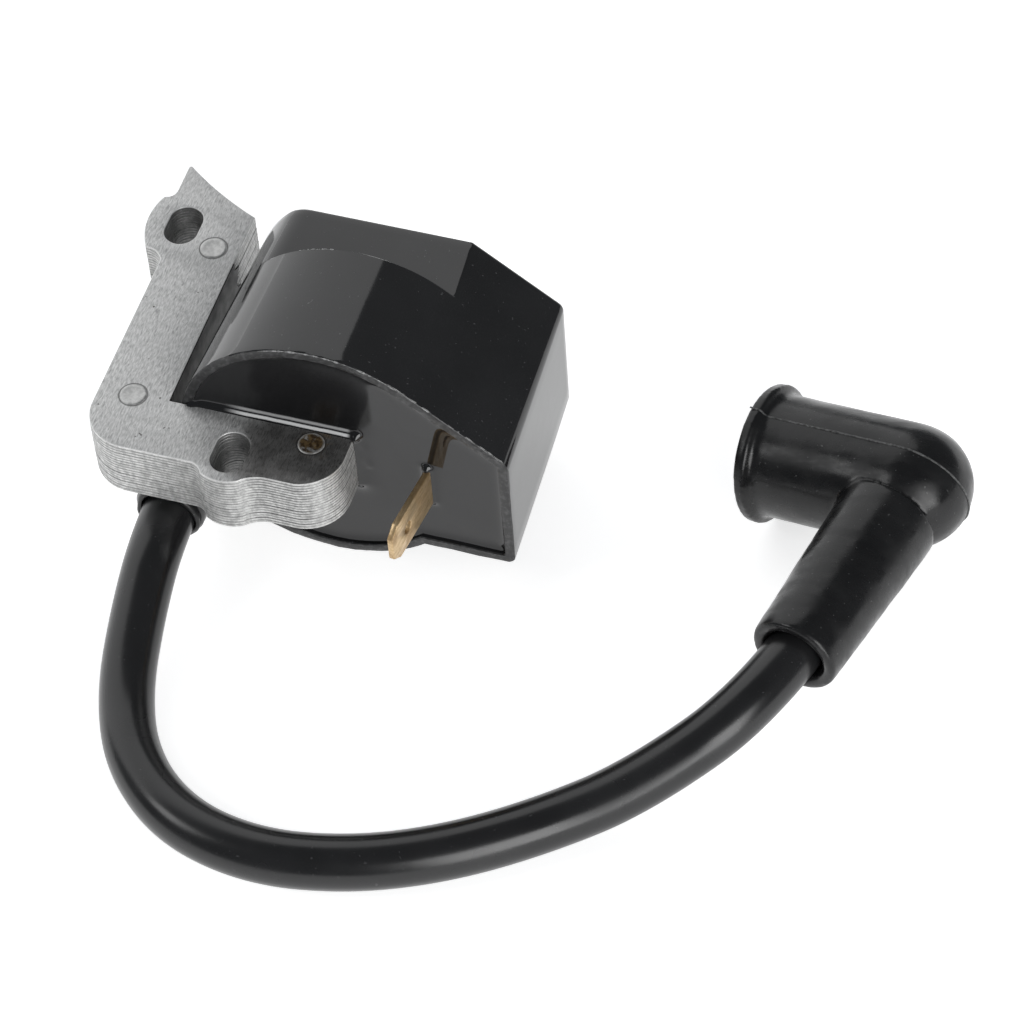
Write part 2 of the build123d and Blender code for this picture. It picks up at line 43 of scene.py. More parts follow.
# ---- dimensions shared with the CAD, in millimetres
# The module's own frame has X 0 on the coil's axis and Y 0 at the rim.
COIL_X, RIM_Y, AXIS_Z = 4.5, -13.8, 18.9
RADIUS, BACK_Y, WALL = 18.9, 27.4, 1.4
DRAFT = math.tan(math.radians(2.5))
SLANT = math.radians(37.0)
SIDE_X, FLOOR_Z, STEP_Y, STEP_Z = 24.4, 4.6, 18.0, 32.3
KNEE_R, TOE_R = 2.6, 1.2
CORE_LOW, SHEETS, PITCH, THICK = 14.1, 18, 0.5, 0.49
CORE_TOP = CORE_LOW + (SHEETS - 1) * PITCH + THICK
FLY_R, FLY_Y = 51.0, 78.75
SLOTS = [(-28.5, 28.2), (-9.8, -6.0)]
RIVETS = [(-23.4, 25.4), (-24.75, -0.4), (-0.5, -2.1)]
TOWER, TOWER_Y = (-19.2, 9.3), -6.6
TAB_X, TAB_Z, TAB_LEAN = 13.5, 16.2, math.radians(7.5)
LEAD_R = 3.5
BARREL_R, SOCKET_R, CHAMBER_R = 7.9, 5.2, 4.3
SLOT_R, SLOT_HALF, RIVET_R = 2.2, 1.0, 1.70
LEAD_ROUTE = [
    (-14.7, -14.0, 9.3), (-14.7, -24.5, 9.3), (-14.0, -34.7, 6.3), (-12.2, -45.2, 3.8), (-7.7, -54.6, 3.5),
    (0.5, -61.5, 3.5), (11.5, -63.9, 3.5), (23.1, -61.9, 3.5), (33.6, -57.3, 3.5), (43.6, -50.4, 3.5),
    (53.9, -43.2, 6.0), (66.4, -31.5, 13.2), (70.1, -16.0, 13.1),
]
TUBE_DIR = (Vector(LEAD_ROUTE[-1]) - Vector(LEAD_ROUTE[-2])).normalized()
ELBOW = Vector(LEAD_ROUTE[-1]) + TUBE_DIR * 21.5
BARREL_TURN, BARREL_DIP = math.radians(169.6), math.radians(11.1)
BARREL_DIR = Vector((
    math.cos(BARREL_DIP) * math.cos(BARREL_TURN),
    math.cos(BARREL_DIP) * math.sin(BARREL_TURN),
    -math.sin(BARREL_DIP),
))


# ======== mesh helpers: everything is worked out in millimetres and stored in metres ========
def place(x, y, z):
    """From the module's frame to the row's."""
    return (x + COIL_X, y + RIM_Y, z)


def piece(name, verts, faces, mat, body, slot=None, sharp=35.0):
    mesh = bpy.data.meshes.new(name)
    mesh.from_pydata([Vector(v) * MM for v in verts], [], faces)
    mesh.validate()
    obj = bpy.data.objects.new(name, mesh)
    bpy.context.scene.collection.objects.link(obj)
    bm = bmesh.new()
    bm.from_mesh(mesh)
    bmesh.ops.remove_doubles(bm, verts=bm.verts, dist=1e-7)
    bmesh.ops.recalc_face_normals(bm, faces=bm.faces)
    bm.to_mesh(mesh)
    bm.free()
    mesh.polygons.foreach_set("use_smooth", [True] * len(mesh.polygons))
    mesh.set_sharp_from_angle(angle=math.radians(sharp))
    mesh.materials.append(mat)
    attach(obj, body)
    return obj


def join(*parts):
    """Several (verts, faces) as one."""
    verts, faces = [], []
    for v, f in parts:
        start = len(verts)
        verts += list(v)
        faces += [tuple(i + start for i in face) for face in f]
    return verts, faces


def skin(rings, cap_start=False, cap_end=False):
    """Faces between closed rings that all have the same number of points."""
    n = len(rings[0])
    verts = [p for ring in rings for p in ring]
    faces = []
    for r in range(len(rings) - 1):
        for i in range(n):
            j = (i + 1) % n
            faces.append((r * n + i, r * n + j, (r + 1) * n + j, (r + 1) * n + i))
    if cap_start:
        faces.append(tuple(range(n))[::-1])
    if cap_end:
        faces.append(tuple(range((len(rings) - 1) * n, len(rings) * n)))
    return verts, faces


def lathe(profile, origin, axis, around=64, wobble=None):
    """Turns (along, radius) points about an axis; a radius of 0 closes an end in a fan."""
    axis = Vector(axis).normalized()
    side = axis.orthogonal().normalized()
    other = axis.cross(side)
    origin = Vector(origin)
    rings = []
    for along, radius in profile:
        ring = []
        for k in range(around):
            a = 2 * math.pi * k / around
            r = radius + (wobble(along, a) if wobble else 0.0)
            ring.append(origin + axis * along + (side * math.cos(a) + other * math.sin(a)) * r)
        rings.append(ring)
    return skin(rings, cap_start=True, cap_end=True)


def round_to(centre, radius, start, sweep, n):
    """Points along an arc, both ends included."""
    turns = [start + sweep * k / n for k in range(n + 1)]
    return [(centre[0] + radius * math.cos(t), centre[1] + radius * math.sin(t)) for t in turns]


def arc3(a, b, c, n):
    """Points on the circle through three points, from a to c, without a."""
    ax, ay, bx, by, cx, cy = *a, *b, *c
    d = 2 * (ax * (by - cy) + bx * (cy - ay) + cx * (ay - by))
    ux = ((ax**2 + ay**2) * (by - cy) + (bx**2 + by**2) * (cy - ay) + (cx**2 + cy**2) * (ay - by)) / d
    uy = ((ax**2 + ay**2) * (cx - bx) + (bx**2 + by**2) * (ax - cx) + (cx**2 + cy**2) * (bx - ax)) / d
    r = math.hypot(ax - ux, ay - uy)
    t0 = math.atan2(ay - uy, ax - ux)
    tm = math.atan2(by - uy, bx - ux)
    t1 = math.atan2(cy - uy, cx - ux)
    sweep = (t1 - t0) % (2 * math.pi)
    if (tm - t0) % (2 * math.pi) > sweep:
        sweep -= 2 * math.pi
    return round_to((ux, uy), r, t0, sweep, n)[1:]


def line(a, b, n):
    return [(a[0] + (b[0] - a[0]) * k / n, a[1] + (b[1] - a[1]) * k / n) for k in range(1, n + 1)]


def rounded(points, corner, radius, n=5):
    """Rounds one corner of a closed outline, given as the index of its point."""
    p = Vector(points[corner])
    a = Vector(points[corner - 1]) - p
    b = Vector(points[(corner + 1) % len(points)]) - p
    half = a.angle(b) / 2
    cut = min(radius / math.tan(half), a.length * 0.9, b.length * 0.9)
    s, e = p + a.normalized() * cut, p + b.normalized() * cut
    return [tuple(s * (1 - t) ** 2 + p * 2 * t * (1 - t) + e * t**2) for t in [k / n for k in range(n + 1)]]


# ======== materials ========
class Nodes:
    """A short way to wire a material."""

    def __init__(self, name):
        self.mat = bpy.data.materials.new(name)
        self.mat.use_nodes = True
        self.tree = self.mat.node_tree
        self.shader = self.tree.nodes["Principled BSDF"]
        self.coords = self.tree.nodes.new("ShaderNodeTexCoord").outputs["Object"]

    def set(self, **values):
        for key, value in values.items():
            socket = self.shader.inputs[key.replace("_", " ").title()]
            self.feed(socket, value)
        return self

    def feed(self, socket, value):
        if isinstance(value, bpy.types.NodeSocket):
            self.tree.links.new(value, socket)
        elif isinstance(value, tuple) and len(value) == 3 and socket.type == "RGBA":
            socket.default_value = (*value, 1.0)
        else:
            socket.default_value = value

    def node(self, kind, out=0, props=None, **inputs):
        made = self.tree.nodes.new("ShaderNode" + kind)
        for key, value in (props or {}).items():
            setattr(made, key, value)
        for key, value in inputs.items():
            numbered = key[0] == "i" and key[1:].isdigit()
            self.feed(made.inputs[int(key[1:]) if numbered else key.replace("_", " ")], value)
        return made.outputs[out]

    def scaled(self, *scale, offset=(0.0, 0.0, 0.0)):
        return self.node("Mapping", Vector=self.coords, Scale=scale, Location=offset)

    def noise(self, scale, detail=4.0, rough=0.55, vector=None, stretch=None):
        vector = self.scaled(*stretch) if stretch else (vector or self.coords)
        return self.node("TexNoise", Vector=vector, Scale=scale, Detail=detail, Roughness=rough)

    def math(self, op, a, b=0.0, c=0.0, clamp=False):
        return self.node("Math", props={"operation": op, "use_clamp": clamp}, i0=a, i1=b, i2=c)

    def ramp(self, value, low, high, out_low=0.0, out_high=1.0):
        made = self.tree.nodes.new("ShaderNodeMapRange")
        made.interpolation_type = "SMOOTHSTEP"
        keys = ("Value", "From Min", "From Max", "To Min", "To Max")
        for key, v in zip(keys, (value, low, high, out_low, out_high)):
            self.feed(made.inputs[key], v)
        return made.outputs[0]

    def mix(self, fac, a, b):
        made = self.tree.nodes.new("ShaderNodeMix")
        made.data_type = "RGBA"
        self.feed(made.inputs["Factor"], fac)
        self.feed(made.inputs[6], a)
        self.feed(made.inputs[7], b)
        return made.outputs[2]

    def xyz(self):
        made = self.tree.nodes.new("ShaderNodeSeparateXYZ")
        self.tree.links.new(self.coords, made.inputs[0])
        return made.outputs

    def facing(self, axis):
        """How far the surface faces along Z, Y or X, from -1 to 1."""
        geo = self.tree.nodes.new("ShaderNodeNewGeometry")
        split = self.tree.nodes.new("ShaderNodeSeparateXYZ")
        self.tree.links.new(geo.outputs["True Normal"], split.inputs[0])
        return split.outputs[axis]

    def distance(self, x, y, z=None):
        """Distance in millimetres from a point in the row's frame; without z, from an upright axis."""
        at = self.scaled(1000.0, 1000.0, 0.0 if z is None else 1000.0)
        goal = self.tree.nodes.new("ShaderNodeVectorMath")
        goal.operation = "DISTANCE"
        self.tree.links.new(at, goal.inputs[0])
        goal.inputs[1].default_value = (x, y, 0.0 if z is None else z)
        return goal.outputs["Value"]

    def bump(self, height, depth, strength=1.0, normal=None):
        made = self.tree.nodes.new("ShaderNodeBump")
        self.feed(made.inputs["Height"], height)
        made.inputs["Distance"].default_value = depth
        made.inputs["Strength"].default_value = strength
        if normal is not None:
            self.tree.links.new(normal, made.inputs["Normal"])
        return made.outputs[0]


def steel_core():
    n = Nodes("core_steel_stamped")
    grain = n.noise(1.0, 5.0, 0.62, stretch=(5200.0, 1100.0, 2600.0))
    fleck = n.noise(1.0, 2.0, 0.5, stretch=(4600.0, 1050.0, 3000.0))
    cloud = n.noise(140.0, 3.0)
    pits = n.ramp(n.noise(900.0, 2.0, 0.6), 0.70, 0.76)
    top = n.mix(n.ramp(grain, 0.30, 0.72), (0.34, 0.34, 0.337), (0.70, 0.70, 0.695))
    top = n.mix(n.ramp(fleck, 0.57, 0.68, 0.0, 0.55), top, (0.19, 0.19, 0.19))
    top = n.mix(n.ramp(cloud, 0.35, 0.7, 0.0, 0.18), top, (0.42, 0.42, 0.42))
    top = n.mix(pits, top, (0.07, 0.065, 0.06))
    x, y, z = n.xyz()
    height = n.math("MULTIPLY", n.math("SUBTRACT", z, CORE_LOW * MM), 2 * math.pi / (PITCH * MM))
    seam = n.ramp(n.math("COSINE", height), 0.25, 0.95)
    streak = n.noise(1.0, 3.0, 0.6, stretch=(1700.0, 1700.0, 900.0))
    side = n.mix(n.ramp(streak, 0.26, 0.74), (0.36, 0.36, 0.355), (0.66, 0.66, 0.65))
    side = n.mix(n.math("MULTIPLY", seam, 0.80), side, (0.06, 0.06, 0.06))
    side = n.mix(n.ramp(n.noise(420.0, 4.0, 0.7), 0.60, 0.74, 0.0, 0.5), side, (0.16, 0.155, 0.15))
    upright = n.ramp(n.math("ABSOLUTE", n.facing(2)), 0.35, 0.75)
    # painted shade: the side faces inside each slot are darkened to near-black, for the shade down in the
    # slot
    for cx, cy in SLOTS:
        sx, sy, _ = place(cx, cy, 0)
        side = n.mix(n.ramp(n.distance(sx, sy), 3.5, 3.35, 0.0, 0.62), side, (0.03, 0.03, 0.03))
    colour = n.mix(upright, side, top)
    # painted highlight: the eased top edges of the upper sheet are painted pale, for the light they catch
    tilt = n.facing(2)
    painted_edge_highlight = n.math("MULTIPLY", n.ramp(tilt, 0.12, 0.30), n.ramp(tilt, 0.985, 0.93))
    painted_edge_highlight = n.math("MULTIPLY", painted_edge_highlight, n.ramp(z, (CORE_TOP - 0.30) * MM, (CORE_TOP - 0.12) * MM))
    colour = n.mix(n.math("MULTIPLY", painted_edge_highlight, 0.75), colour, (0.86, 0.86, 0.85))
    # a darker, glossier patch between the inner slot and the last rivet
    near = n.distance(3.6, -18.6)
    near = n.math("ADD", near, n.math("MULTIPLY", n.noise(330.0, 4.0, 0.65), 5.0))
    dark_glossy_patch = n.math("MULTIPLY", n.ramp(near, 13.8, 8.6), upright)
    smear = n.mix(n.ramp(n.noise(520.0, 5.0, 0.7), 0.35, 0.7), (0.050, 0.048, 0.046), (0.145, 0.142, 0.138))
    colour = n.mix(n.math("MULTIPLY", dark_glossy_patch, 0.90), colour, smear)
    rust = n.ramp(n.distance(4.6, -15.4), 3.3, 1.2)
    rust = n.math("MULTIPLY", rust, n.ramp(n.noise(800.0, 3.0), 0.42, 0.62))
    colour = n.mix(n.math("MULTIPLY", n.math("MULTIPLY", rust, upright), 0.55), colour, (0.17, 0.11, 0.05))
    # painted shade: a dark ring round each rivet stands in for the shade in the groove pressed round it
    for rx, ry in RIVETS:
        px, py, _ = place(rx, ry, 0)
        ring = n.math("ABSOLUTE", n.math("SUBTRACT", n.distance(px, py), 1.82))
        ring = n.math("MULTIPLY", n.ramp(ring, 0.15, 0.05), upright)
        colour = n.mix(n.math("MULTIPLY", ring, 0.72), colour, (0.05, 0.05, 0.05))
    n.set(base_color=colour, metallic=0.55)
    rough = n.ramp(grain, 0.3, 0.7, 0.38, 0.56)
    rough = n.math("SUBTRACT", rough, n.math("MULTIPLY", dark_glossy_patch, 0.16))
    normal = n.bump(n.math("MULTIPLY", grain, upright), 0.00004, 0.6)
    normal = n.bump(pits, 0.00006, 0.5, normal)
    n.set(roughness=rough, normal=normal)
    return n.mat


def gloss_black(name, tint, rough, ripple, dust=0.5):
    n = Nodes(name)
    cloud = n.noise(70.0, 3.0)
    specks = n.ramp(n.noise(2300.0, 1.0, 0.4), 0.735, 0.78, 0.0, dust)
    light = tuple(min(c * 7 + 0.03, 1.0) for c in tint)
    colour = n.mix(n.ramp(cloud, 0.3, 0.7), tint, tuple(c * 1.5 for c in tint))
    colour = n.mix(specks, colour, light)
    n.set(base_color=colour, roughness=n.ramp(cloud, 0.3, 0.75, rough, rough * 1.6))
    normal = n.bump(n.noise(160.0, 2.0), ripple, 0.35)
    normal = n.bump(n.noise(1900.0, 2.0), ripple * 0.06, 0.25, normal)
    n.set(normal=normal)
    return n, colour


def housing_plastic():
    n, colour = gloss_black("housing_gloss_plastic", (0.0105, 0.0105, 0.011), 0.055, 0.00004)
    x, y, z = n.xyz()
    # the rim is cut rough after moulding, and dulls
    ragged = n.math("ADD", y, n.math("MULTIPLY", n.noise(900.0, 4.0, 0.7), 0.00022))
    rim = n.ramp(ragged, (RIM_Y + 0.30) * MM, (RIM_Y + 0.18) * MM)
    rim = n.math("MULTIPLY", rim, n.ramp(y, (RIM_Y - 1.2) * MM, (RIM_Y - 0.8) * MM))
    grit = n.ramp(n.noise(1500.0, 4.0, 0.7), 0.42, 0.74)
    chalk = n.mix(grit, (0.012, 0.012, 0.0125), (0.060, 0.060, 0.061))
    n.set(base_color=n.mix(rim, colour, chalk))
    rough = n.math("ADD", n.ramp(n.noise(60.0, 3.0), 0.3, 0.75, 0.055, 0.10), n.math("MULTIPLY", rim, 0.33))
    n.set(roughness=rough)
    return n.mat


def potting_resin():
    n, colour = gloss_black("potting_mirror_resin", (0.006, 0.006, 0.0065), 0.045, 0.00001, 0.15)
    # painted highlight: two fine pale lines where the resin climbs on to the core, for the light reflected
    # along its meniscus
    x, y, z = n.xyz()
    wander = n.math("MULTIPLY", n.noise(240.0, 2.0), 0.0002)
    rise = n.math("SUBTRACT", n.math("SUBTRACT", z, wander), CORE_TOP * MM)
    upper = n.ramp(n.math("ABSOLUTE", n.math("SUBTRACT", rise, 0.00078)), 0.00026, 0.00010)
    lower = n.ramp(n.math("ABSOLUTE", n.math("SUBTRACT", rise, 0.00022)), 0.00022, 0.00010)
    along = n.math("MULTIPLY", n.ramp(x, -0.0085, -0.0055), n.ramp(x, 0.0085, 0.0078))
    meniscus_glint = n.math("MULTIPLY", n.math("MAXIMUM", n.math("MULTIPLY", upper, 0.45), lower), along)
    n.set(base_color=n.mix(meniscus_glint, colour, (0.60, 0.60, 0.60)))
    # handled and slightly dulled above the core, still glassy beside it
    dull = n.ramp(z, (CORE_TOP + 0.6) * MM, (CORE_TOP + 1.6) * MM)
    dull = n.math("MULTIPLY", dull, n.ramp(x, 0.0125, 0.0095))
    n.set(roughness=n.math("ADD", n.math("MULTIPLY", dull, 0.20), 0.035))
    return n.mat


def lead_vinyl():
    return gloss_black("lead_gloss_vinyl", (0.008, 0.008, 0.0085), 0.20, 0.00003, 0.35)[0].mat


def boot_rubber():
    n = Nodes("boot_satin_rubber")
    cloud = n.noise(150.0, 4.0, 0.6)
    smear = n.noise(1.0, 3.0, 0.6, stretch=(160.0, 420.0, 260.0))
    specks = n.ramp(n.noise(2600.0, 1.0, 0.4), 0.735, 0.775, 0.0, 0.55)
    colour = n.mix(n.ramp(cloud, 0.3, 0.7), (0.0055, 0.0055, 0.006), (0.0105, 0.0105, 0.011))
    colour = n.mix(specks, colour, (0.10, 0.10, 0.10))
    n.set(base_color=colour, roughness=n.ramp(smear, 0.34, 0.70, 0.20, 0.40))
    n.shader.inputs["Specular IOR Level"].default_value = 0.36
    normal = n.bump(n.noise(260.0, 3.0), 0.00012, 0.35)
    normal = n.bump(n.noise(2600.0, 3.0), 0.00001, 0.35, normal)
    n.set(normal=normal)
    return n.mat


def brass():
    n = Nodes("terminal_rolled_brass")
    streak = n.noise(1.0, 4.0, 0.6, stretch=(2600.0, 260.0, 2600.0))
    tarnish = n.ramp(n.noise(420.0, 4.0, 0.65), 0.38, 0.72)
    colour = n.mix(n.ramp(streak, 0.3, 0.7), (0.50, 0.35, 0.18), (0.72, 0.54, 0.32))
    colour = n.mix(n.math("MULTIPLY", tarnish, 0.6), colour, (0.28, 0.17, 0.08))
    n.set(base_color=colour, metallic=0.8, roughness=n.ramp(tarnish, 0.0, 1.0, 0.34, 0.52))
    n.set(normal=n.bump(n.noise(1100.0, 5.0, 0.7), 0.00006, 0.6))
    return n.mat


def rivet_steel():
    n = Nodes("rivet_set_steel")
    grain = n.noise(1500.0, 4.0, 0.6)
    colour = n.mix(n.ramp(grain, 0.3, 0.7), (0.36, 0.36, 0.355), (0.62, 0.62, 0.61))
    px, py, _ = place(*RIVETS[2], 0)
    near = n.ramp(n.distance(px, py), 1.75, 1.3)
    stain = n.math("MULTIPLY", near, n.ramp(n.noise(900.0, 4.0, 0.7), 0.36, 0.52))
    brown = n.mix(n.ramp(n.noise(1600.0, 3.0), 0.4, 0.6), (0.075, 0.045, 0.02), (0.22, 0.15, 0.07))
    n.set(base_color=n.mix(stain, colour, brown), metallic=0.7)
    n.set(roughness=n.ramp(grain, 0.3, 0.7, 0.36, 0.56), normal=n.bump(grain, 0.00005, 0.5))
    return n.mat


def inner(name, low, high, metallic, rough, scale, depth=0.00004, stretch=None):
    """Materials of the pieces sealed inside: two tones through a grain at the right scale."""
    n = Nodes(name)
    grain = n.noise(1.0, 4.0, 0.6, stretch=stretch) if stretch else n.noise(scale, 4.0, 0.6)
    n.set(base_color=n.mix(n.ramp(grain, 0.3, 0.7), low, high), metallic=metallic)
    n.set(roughness=n.ramp(grain, 0.3, 0.7, rough, rough * 1.4), normal=n.bump(grain, depth, 0.5))
    return n.mat


CORE, HOUSING, RESIN, VINYL = steel_core(), housing_plastic(), potting_resin(), lead_vinyl()
RUBBER, BRASS, RIVET = boot_rubber(), brass(), rivet_steel()
# partly painted shade: this near-black, low-shine film is real resin and also keeps the deep gap beside the
# housing dark
RESIN_FILM_AND_SHADE = inner("resin_film_and_painted_shade", (0.003, 0.003, 0.003), (0.008, 0.008, 0.008), 0.0, 0.30, 700.0)
RESIN_FILM_AND_SHADE.node_tree.nodes["Principled BSDF"].inputs["Specular IOR Level"].default_value = 0.15
SEAM = inner("boot_parting_seam", (0.012, 0.012, 0.012), (0.13, 0.13, 0.13), 0.0, 0.45, 2100.0)
FLASH = inner("moulding_flash", (0.10, 0.10, 0.10), (0.42, 0.42, 0.42), 0.0, 0.4, 1800.0)
COPPER = inner(
    "winding_enamelled_copper", (0.30, 0.09, 0.03), (0.62, 0.24, 0.09), 0.8, 0.28, 900.0,
    depth=0.00012, stretch=(300.0, 9000.0, 300.0),
)
BOBBIN = inner("bobbin_moulded_nylon", (0.55, 0.52, 0.45), (0.72, 0.70, 0.63), 0.0, 0.45, 700.0)
INSIDE = {
    "primary_bobbin": BOBBIN,
    "secondary_bobbin": BOBBIN,
    "primary_winding": COPPER,
    "secondary_winding": COPPER,
    "winding_film": inner("film_polyester", (0.42, 0.24, 0.06), (0.60, 0.38, 0.12), 0.0, 0.12, 300.0),
    "circuit_board": inner("board_green_laminate", (0.02, 0.13, 0.05), (0.05, 0.22, 0.09), 0.0, 0.35, 900.0),
    "power_transistor": inner(
        "transistor_moulded_epoxy", (0.012, 0.012, 0.012), (0.03, 0.03, 0.03), 0.0, 0.5, 1500.0,
    ),
    "control_transistor": inner(
        "small_transistor_epoxy", (0.012, 0.012, 0.013), (0.032, 0.032, 0.032), 0.0, 0.5, 1700.0,
    ),
    "diode": inner("diode_moulded_epoxy", (0.01, 0.01, 0.01), (0.035, 0.035, 0.035), 0.0, 0.42, 1800.0),
    "resistors": inner("resistor_lacquer", (0.42, 0.30, 0.17), (0.58, 0.44, 0.28), 0.0, 0.35, 1200.0),
    "capacitor": inner("capacitor_dipped", (0.42, 0.18, 0.04), (0.60, 0.28, 0.08), 0.0, 0.30, 1000.0),
    "earth_strip": BRASS,
    "ht_contact": BRASS,
    "potting_compound": RESIN,
    "lead_conductor": inner(
        "conductor_stranded_copper", (0.36, 0.13, 0.05), (0.68, 0.30, 0.14), 0.9, 0.3, 1500.0, depth=0.0001,
    ),
    "plug_spring": inner("spring_drawn_steel", (0.32, 0.32, 0.32), (0.60, 0.60, 0.59), 0.9, 0.28, 2200.0),
}
for node_name, mat in INSIDE.items():
    for mat_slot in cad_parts[node_name].material_slots:
        mat_slot.material = mat


# ======== core: stamped sheets, each a hair out of line with the next ========
def pole_y(x):
    return FLY_Y - math.sqrt(FLY_R**2 - x**2)


def core_outline():
    half, left, base, low = 4.3, -20.0, -0.1, -8.7
    pts = [(-half, pole_y(half))]
    pts += line(pts[-1], (-half, base), 6)
    pts += line(pts[-1], (left, base), 4)
    pts += line(pts[-1], (left, pole_y(left)), 8)
    pts += arc3(pts[-1], (-25.4, pole_y(25.4)), (-30.8, pole_y(30.8)), 10)
    pts += arc3(pts[-1], (-31.25, pole_y(30.8) + 0.12), (-31.4, pole_y(31.4) - 0.7), 4)
    pts += line(pts[-1], (-31.4, 33.6), 3)
    pts += arc3(pts[-1], (-31.75, 32.75), (-32.7, 32.3), 4)
    pts += arc3(pts[-1], (-33.5, 28.0), (-32.0, 23.5), 16)
    pts += arc3(pts[-1], (-30.2, 22.9), (-29.4, 21.8), 5)
    pts += line(pts[-1], (-29.4, -2.5), 10)
    pts += arc3(pts[-1], (-27.3, -7.3), (-23.2, low), 12)
    pts += line(pts[-1], (-14.2, low), 5)
    pts += arc3(pts[-1], (-13.1, -9.1), (-12.4, -10.0), 4)
    pts += arc3(pts[-1], (-9.9, -10.7), (-7.4, -10.1), 10)
    pts += arc3(pts[-1], (-6.0, -9.1), (-4.2, low), 6)
    pts += line(pts[-1], (-0.6, low), 3)
    pts += arc3(pts[-1], (2.9, -6.9), (half, -3.4), 10)
    pts += line(pts[-1], (half, pole_y(half)), 8)
    pts += arc3(pts[-1], (0.0, pole_y(0.0)), (-half, pole_y(half)), 6)[:-1]
    return pts


def slot_outline(cx, cy, n=20):
    out = []
    for k in range(2 * n):
        a = math.pi * k / n
        shift = SLOT_HALF if k < n else -SLOT_HALF
        out.append((cx + SLOT_R * math.cos(a), cy + SLOT_R * math.sin(a) + shift))
    return out


def offset_outline(pts, amount):
    """Moves a closed outline sideways; positive is to the left of its direction."""
    out = []
    for i, p in enumerate(pts):
        a, b = Vector(pts[i - 1]), Vector(pts[(i + 1) % len(pts)])
        d1 = (Vector(p) - a).normalized()
        d2 = (b - Vector(p)).normalized()
        nrm = Vector((-(d1.y + d2.y), d1.x + d2.x))
        nrm = nrm / max(nrm.length * max((1 + d1.dot(d2)) / 2, 0.3) ** 0.5, 1e-6)
        out.append((p[0] + nrm.x * amount, p[1] + nrm.y * amount))
    return out


def signed_area(pts):
    return sum(a[0] * b[1] - b[0] * a[1] for a, b in zip(pts, pts[1:] + pts[:1])) / 2


def inward(pts, amount):
    return offset_outline(pts, amount if signed_area(pts) > 0 else -amount)


def sheet_solid(outline, holes, low, high, lip_low, lip_high):
    """One sheet with its edges eased: lips are (inset, drop) pairs from the face towards mid-thickness."""
    parts, caps = [], []
    for loop, sign in [(outline, 1.0)] + [(h, -1.0) for h in holes]:
        rings = []
        for inset, drop in lip_low:
            rings.append([place(x, y, low + drop) for x, y in inward(loop, sign * inset)])
        for inset, drop in reversed(lip_high):
            rings.append([place(x, y, high - drop) for x, y in inward(loop, sign * inset)])
        parts.append(skin(rings))
        caps.append((rings[0], rings[-1]))
    verts, faces = join(*parts)
    start, spans = 0, []
    for v, _ in parts:
        spans.append((start, len(v)))
        start += len(v)
    for end in (0, 1):
        loops = [[Vector(p) for p in cap[end]] for cap in caps]
        flat = [i for loop in [
            (range(s, s + len(c[0])) if end == 0 else range(s + n - len(c[0]), s + n))
            for (s, n), c in zip(spans, caps)
        ] for i in loop]
        faces += [tuple(flat[i] for i in tri) for tri in tessellate_polygon(loops)]
    return verts, faces


def core_stack():
    rng = np.random.default_rng(7)
    base = core_outline()
    square = [(0.035, 0.0), (0.0, 0.05)]
    rolled = [(0.16, 0.0), (0.07, 0.025), (0.02, 0.08), (0.0, 0.16)]
    solids = []
    for k in range(SHEETS):
        low = CORE_LOW + k * PITCH
        shift = rng.normal(0.0, 0.014, 2)
        grow = rng.normal(0.0, 0.012)
        outline = [(x + shift[0], y + shift[1]) for x, y in inward(base, -grow)]
        holes = []
        for cx, cy in SLOTS:
            wander = rng.normal(0.0, 0.02, 2)
            holes.append(slot_outline(cx + wander[0], cy + wander[1]))
        top = rolled if k == SHEETS - 1 else square
        bottom = rolled if k == 0 else square
        solids.append(sheet_solid(outline, holes, low, low + THICK, bottom, top))
    return join(*solids)


core = piece("core_stack", *core_stack(), CORE, "module", "core_steel", 28.0)
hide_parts("core_laminations")


# ======== rivets: set flush, with a shallow dimple; the pressed ring round each is painted shade on the core ===
def rivet_pair(x, y, seed):
    head = [(0.35, 0.03), (0.8, 0.05), (1.15, 0.085), (1.42, 0.12)]
    head += [(1.6, 0.10), (1.69, 0.04), (RIVET_R, -0.2)]
    parts = []
    for level, way in ((CORE_TOP, 1.0), (CORE_LOW, -1.0)):
        def wobble(along, a):
            return 0.03 * math.sin(3 * a + seed) * (along > -0.1)
        profile = [(-0.35, RIVET_R)] + [(h, r) for r, h in reversed(head)]
        profile.append((0.02, 0.02))
        parts.append(lathe(profile, place(x, y, level), (0, 0, way), 48, wobble))
    return join(*parts)


rivet_parts = [rivet_pair(x, y, k * 2.1) for k, (x, y) in enumerate(RIVETS)]
rivets = piece("rivet_heads", *join(*rivet_parts), RIVET, "module", "rivet_steel")
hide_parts("core_rivets")


# ======== housing: drafted can with its side compartment and the flat cut behind the step ========
def fillet_arc(corner, before, after, radius, n):
    p, a, b = Vector(corner), Vector(before), Vector(after)
    u, v = (a - p).normalized(), (b - p).normalized()
    half = u.angle(v) / 2
    centre = p + (u + v).normalized() * (radius / math.sin(half))
    s = p + u * (radius / math.tan(half))
    e = p + v * (radius / math.tan(half))
    t0 = math.atan2(s.y - centre.y, s.x - centre.x)
    t1 = math.atan2(e.y - centre.y, e.x - centre.x)
    turn = (t1 - t0 + math.pi) % (2 * math.pi) - math.pi
    return round_to(centre, radius, t0, turn, n)


